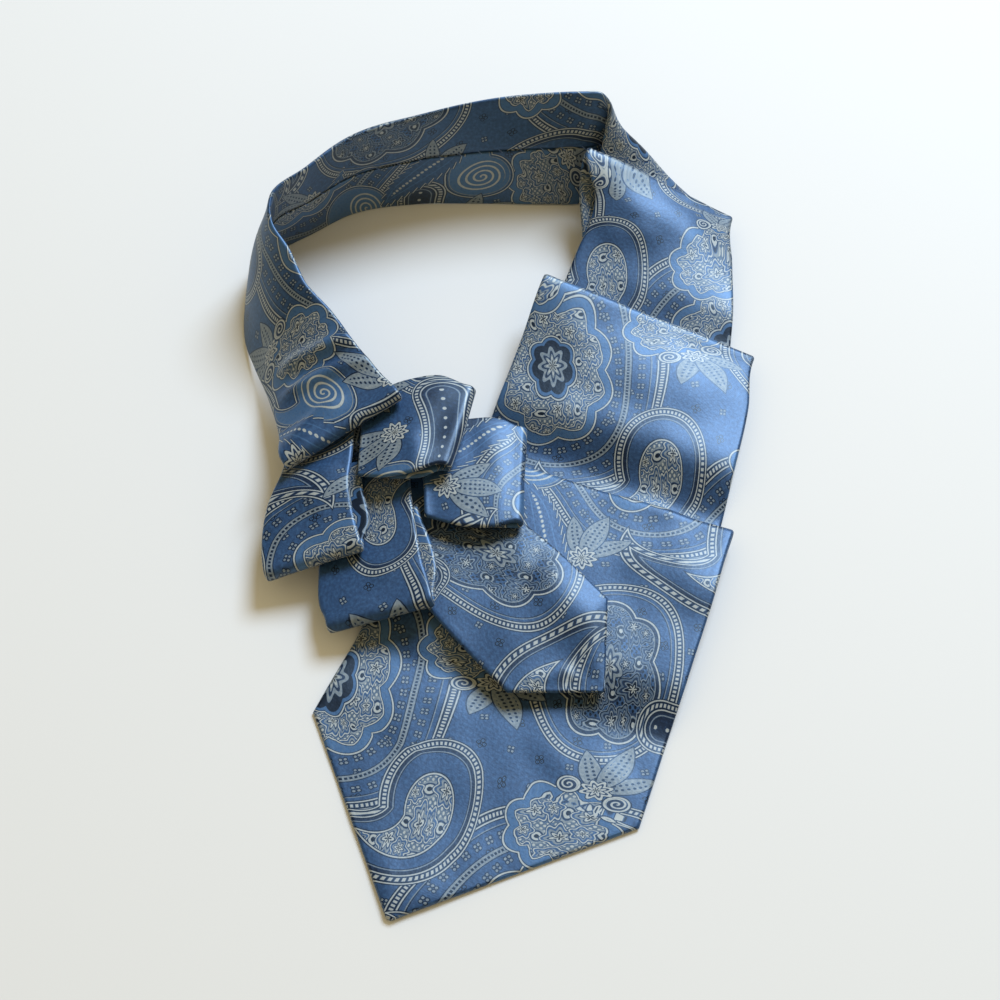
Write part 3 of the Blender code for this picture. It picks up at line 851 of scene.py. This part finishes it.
def volute(weave, x, y, radius):
    """A round scroll end: a coil of two turns."""
    rings(weave, x.reach(y) - radius, (0.3, NAVY), (0.0, CREAM), (-0.2 * radius, DEEP))
    spiral(weave, x, y, 0.8 * radius, 0.45 * radius, 0.09 * radius)


def filigree(place):
    """A dense ground of small flowers, rings and dots, to fill the larger motifs."""
    weave = Weave(place[0] * 0.0 + GREY)
    x, y = about(place, (0, 0), 38, DOT_GRID)
    weave.lay(inside(x.reach(y) - 0.42), CREAM)
    x, y = place
    place = (y * (TAU / 16)).sine().times_add(1.1, x), (x * (TAU / 13)).sine().times_add(1.1, y)
    x, y = about(place, (3.1, 6.5), 0, FLOWER_GRID)
    weave.lay(inside(abs(x.reach(y) - 1.9) - 0.75), SILVER)
    rings(weave, x.reach(y), (2.0, DEEP), (1.5, CREAM), (0.7, NAVY))
    for centre, size in (((0, 0), 1.15), ((6.6, 3.7), 0.85)):
        x, y = about(place, centre, 0, FLOWER_GRID)
        away, angle = x.reach(y), y.angle(x)
        edge = (angle * 6).cosine().times_add(-0.5 * size, away - 2.9 * size)
        rings(weave, edge, (0.8, DEEP), (0.55, CREAM), (0.15, BLUE), (-0.5, SILVER),
              (-1.1 * size, DEEP), (-1.5 * size, CREAM), (-2.3 * size, NAVY))
    return weave.tone


# %% Lay out the design
def flowing(place):
    """The places moved by slow waves, so that no ring stays a perfect circle."""
    x, y = place
    return ((y * (2 * TAU / REPEAT[1])).sine().times_add(2.8, x),
            (x.times_add(2 * TAU / REPEAT[0], 1.3)).sine().times_add(2.5, y))


def cloud(weave, rich, x, y, radius, count, depth):
    """A round patch of filigree with a jagged edge, inside a scalloped line."""
    away, angle = x.reach(y), y.angle(x)
    edge = scallops(away, angle, radius, count, depth)
    jag = abs((angle * (count * 1.5 / TAU)).wrap(0.5)).times_add(2.4, edge)
    rings(weave, edge, (0.55, NAVY), (0.3, CREAM), (-0.3, NAVY), (-0.5, SKY))
    weave.lay(inside(jag + 2.9), rich)
    rings(weave, jag + 2.9, (0.45, NAVY), (0.25, CREAM), (-0.25, NAVY), (-0.45, None))


def dotted_leaf(weave, x, y, long, wide):
    """A pale leaf with rows of dark dots, along x."""
    edge = leaf(x, y, long, wide)
    rings(weave, edge, (0.5, NAVY), (0.2, SILVER))
    dot = x.wrap(0.7).reach((abs(y) - 0.8).wrap(0.8))
    weave.lay(inside((dot - 0.38).most(edge + 0.6)), NAVY)


def palmette(weave, rich, place, centre, degrees):
    """Three leaves, a flower and two scrolls, below a patch of filigree."""
    x, y = about(place, centre, degrees)
    side = abs(y)
    cloud(weave, rich, x - 14.5, y, 12.5, 9, 2.2)
    volute(weave, x - 2.0, side - 6.2, 2.9)
    dotted_leaf(weave, *turned(x, side, 135), 14, 2.5)
    dotted_leaf(weave, x * -1.0, y, 18, 2.9)
    rosette(weave, x.reach(y), y.angle(x), 3.8, 8, CREAM)


def paisley(u, s):
    """The thread tone of the whole design; u is across the tie and s along it, in mm."""
    place = flowing((s.times_add(math.sin(TURN), u * math.cos(TURN)),
                     u.times_add(-math.sin(TURN), s * math.cos(TURN))))
    weave = Weave(u * 0.0 + BLUE)
    rich = filigree(place)

    # small light and dark florets over the whole ground
    x, y = about(place, (5, 4), 40, FLORET_GRID)
    rings(weave, (abs(x) - 0.55).reach(abs(y) - 0.55), (0.62, NAVY), (0.4, SILVER))
    x, y = about(place, (11.2, 10.4), 20, FLORET_GRID)
    rings(weave, (abs(x) - 0.65).reach(abs(y) - 0.65), (0.7, NAVY), (0.42, SKY), (0.15, NAVY))

    # arcs of rope about the large medallion, with a row of florets between them
    x, y = about(place, (72, 30))
    away, angle = x.reach(y), y.angle(x)
    edge = (angle * 3).sine().times_add(1.7, away)
    rope(weave, edge - 41, angle * 41, (-1.75, BLUE), (-2.9, SILVER), (-3.2, NAVY), (-3.45, None))
    floret_row(weave, edge - 35.2, angle * 35, 4.2)
    rings(weave, edge - 31, (1.3, NAVY), (1.05, SILVER), (-1.05, NAVY), (-1.3, None))
    beads(weave, edge - 31, angle * 31, 0.4, 1.2, NAVY)

    # the large medallion
    floret_row(weave, away - 26.4, angle * 26, 4.0, 0.62)
    cloud(weave, rich, x, y, 21.5, 9, 3.2)
    edge = scallops(away, angle, 8.6, 7, 1.6)
    rings(weave, edge, (0.7, NAVY), (0.4, CREAM), (-0.2, NAVY), (-0.5, SKY), (-1.6, NAVY))
    rosette(weave, away, angle, 6.2, 8)

    # the small dark medallion
    x, y = about(place, (20, 94))
    away, angle = x.reach(y), y.angle(x)
    edge = (angle * 2).cosine().times_add(1.5, away) - 25
    rope(weave, edge, angle * 25, (-1.75, BLUE), (-2.6, SILVER), (-2.9, NAVY), (-3.2, None))
    edge = scallops(away, angle, 16.5, 7, 3.2)
    weave.lay(inside(edge + 1.4), 0.98 - rich)
    rings(weave, edge, (0.5, NAVY), (0.25, CREAM), (-0.35, DEEP), (-1.3, NAVY), (-1.5, SILVER),
          (-1.9, None))
    rosette(weave, away, angle, 5.4, 7)

    # two palmettes
    palmette(weave, rich, place, (40, 66), 20)
    palmette(weave, rich, place, (99, 68), -105)

    # the large boteh, with a smaller one of flowers inside
    x, y = about(place, (22, 28), 150)
    edge = boteh(x, y, 13.5, 19, 2.3)
    rings(weave, edge, (4.2, NAVY), (3.95, CREAM), (3.5, NAVY), (3.2, DEEP), (1.7, NAVY),
          (1.5, CREAM), (1.05, NAVY), (0.8, DEEP), (-0.1, SILVER), (-0.45, NAVY), (-0.7, BLUE))
    beads(weave, edge - 2.45, y.angle(x) * 16, 0.55)
    x, y = about(place, (21, 26), 150)
    edge = boteh(x, y, 8.0, 15, 1.7)
    weave.lay(inside(edge), rich)
    rings(weave, edge, (0.9, NAVY), (0.6, CREAM), (0.1, NAVY), (-0.1, None))

    # a boteh with a spiral, and its mirror
    for centre, degrees, way in (((62, 92), 20, 1), ((88, 122), 200, -1)):
        x, y = about(place, centre, degrees)
        y = y * way
        edge = boteh(x, y, 9.0, 10, 2.6)
        rings(weave, edge, (1.6, NAVY), (1.35, CREAM), (0.9, NAVY), (0.65, BLUE), (0.2, SILVER),
              (-0.1, SKY))
        spiral(weave, x, y, 7.4, 2.1, 0.357)

    # leaves with rows of dots, in two sprays
    for centre, first in (((84, 84), 205), ((50, 116), 60)):
        for degrees, long, wide in ((-38, 15, 2.6), (38, 15, 2.6), (0, 18, 3.0)):
            dotted_leaf(weave, *about(place, centre, first + degrees), long, wide)
        x, y = about(place, centre, first)
        rosette(weave, x.reach(y), y.angle(x), 4.4, 9, CREAM)

    # a capsule of rope with a row of dots
    x, y = about(place, (88, 100), 70)
    edge = x.reach((abs(y) - 13).most(0.0)) - 6.6
    rope(weave, edge, y, (-1.75, DEEP), (-2.6, SILVER), (-2.95, DEEP))
    weave.lay(inside(x.reach(y.wrap(1.9)) - 0.6).least(inside(edge + 4)), CREAM)

    # a long leaf with a bead row, and teeth 3 mm long and 1.3 mm high
    x, y = about(place, (40, 104), 15)
    edge = leaf(x, y, 46, 5.6) - x.wrap(1.5).times_add(1.3 / 3, 1.3 / 2)
    rings(weave, edge, (0.3, NAVY), (0.1, CREAM), (-0.3, NAVY), (-0.5, BLUE))
    edge = leaf(x, y, 44, 3.0)
    rings(weave, edge, (0.2, SKY), (-0.2, BLUE))
    weave.lay(inside((x.wrap(0.8).reach(y) - 0.55).most(edge + 0.9)), CREAM)
    return weave.tone


# %% [markdown]
# ## Silk
# Satin shines along its floating threads, and the figure, woven tighter, is a little duller. The
# tone sets both: a ramp gives the thread's colour, and the roughness follows it. A fine twill line
# and a faint unevenness of the yarn give the cloth its grain. Sheen gives the soft light rim that
# silk shows where it turns away.

# %% Weave the silk
def linear(*colour):
    """An 8-bit screen colour as the linear numbers that a shader takes."""
    return tuple(c / 255 / 12.92 if c <= 10 else ((c / 255 + 0.055) / 1.055) ** 2.4
                 for c in colour)


THREADS = [(tone, linear(*colour), 1) for tone, colour in (
    (NAVY, (7, 16, 32)), (DEEP, (17, 33, 59)), (BLUE, (36, 67, 106)), (SKY, (54, 91, 132)),
    (GREY, (73, 87, 104)), (SILVER, (112, 120, 126)), (CREAM, (160, 162, 158)))]
TWILL = 0.62  # from one twill line to the next, mm


def silk(name):
    finish = Finish(name)
    cloth = finish.node("ShaderNodeUVMap", {"uv_map": "cloth"}).outputs["UV"]
    flat = finish.node("ShaderNodeSeparateXYZ", inputs={0: cloth})
    u, s = (Value(finish, flat.outputs[axis]) * 1000 for axis in (0, 1))
    tone = paisley(u, s)
    yarn = finish.node("ShaderNodeTexNoise", {"noise_dimensions": "2D"},
                       {"Vector": cloth, "Scale": 900.0, "Detail": 1.0, "Roughness": 0.6})
    uneven = Value(finish, yarn.outputs[0])
    shown = (uneven - 0.5).times_add(0.22, tone)
    ramp = finish.node("ShaderNodeValToRGB", {"stops": THREADS}, {0: shown})
    twill = ((u + s) * (TAU / TWILL)).sine() * 0.5 + 0.5
    finish.feed(finish.shader, {
        "Base Color": ramp.outputs[0],
        "Metallic": 0.22,
        "Roughness": tone.times_add(0.1, 0.43),
        "Specular IOR Level": 1.0,
        "Specular Tint": (0.72, 0.87, 1.0, 1.0),
        "Sheen Weight": 0.12,
        "Sheen Roughness": 0.4,
        "Sheen Tint": (0.65, 0.78, 1.0, 1.0),
    })
    finish.raise_threads(0.3, twill.times_add(0.2, uneven))
    print(f"{name}: {len(finish.tree.nodes)} nodes")
    return finish.material


# %% Spin the thread of the slip stitches
def sewing_thread(name):
    finish = Finish(name)
    place = finish.node("ShaderNodeTexCoord").outputs["Object"]
    strand = finish.node("ShaderNodeTexNoise", inputs={"Vector": place, "Scale": 2500.0})
    stops = ((0.3, linear(58, 84, 134), 1), (0.7, linear(96, 124, 172), 1))
    ramp = finish.node("ShaderNodeValToRGB", {"stops": stops}, {0: strand.outputs[0]})
    finish.feed(finish.shader, {"Base Color": ramp.outputs[0], "Roughness": 0.55,
                                "Sheen Weight": 0.2})
    finish.raise_threads(0.4, strand.outputs[0])
    return finish.material


# %% Dress the pieces
silk_face, thread = silk("silk_face"), sewing_thread("slip_stitch_thread")
for name, piece in pieces.items():
    piece.data.materials.append(thread if name == "slip_stitches" else silk_face)

# %% [markdown]
# ## What each piece stands for
# Every stretch replaces the solids of the same place. The size that its cloth was cut to, all the
# way round the tube, is printed when the stretch is sewn.

# %% Ride and replace
SOLIDS = {"neck_band": ("neck_right", "neck_back", "neck_left"), "ruffle_layers": ("ruffle_core",)}
for name, piece in pieces.items():
    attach(piece, "root")
    if name == "slip_stitches":
        continue
    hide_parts(*SOLIDS.get(name, (name,)))

# %% [markdown]
# ## Floor, light and camera
# The cravat lies on a plain pale surface. One large soft light, cool like a window, stands behind
# it to the right. It shines on the tops of the folds, and its soft shadows fall towards the viewer.
# The warm room fills them.

# %% Floor
grid = bmesh.new()
bmesh.ops.create_grid(grid, x_segments=1, y_segments=1, size=3.0)
floor = show("floor", mesh_from("floor", grid))
pale = Finish("pale_floor")
pale.feed(pale.shader, {"Base Color": (0.615, 0.61, 0.62, 1.0), "Roughness": 0.7,
                        "Specular IOR Level": 0.25})
floor.data.materials.append(pale.material)

# %% Light
lamp = bpy.data.lights.new("window", "AREA")
lamp.shape, lamp.size, lamp.energy, lamp.color = "DISK", 0.9, 52.0, (0.65, 0.81, 1.0)
window = show("window", lamp)
window.location = (0.66, 1.08, 1.42)
window.rotation_euler = (-window.location).to_track_quat("-Z", "Y").to_euler()
world = bpy.data.worlds.new("room")
world.use_nodes = True
bpy.context.scene.world = world
room = world.node_tree.nodes["Background"].inputs
room["Color"].default_value, room["Strength"].default_value = (1.0, 0.835, 0.48, 1.0), 0.68
world.cycles_visibility.glossy = False  # the silk mirrors only the window

# %% Camera
lens = bpy.data.cameras.new("camera")
lens.lens, lens.sensor_width = 57.6, 36.0
camera = show("camera", lens)
camera.location = (0.0022, -0.28116, 0.42940)
camera.rotation_euler = (math.radians(33), 0.0, 0.0)
bpy.context.scene.camera = camera
bpy.context.scene.view_settings.view_transform = "Standard"
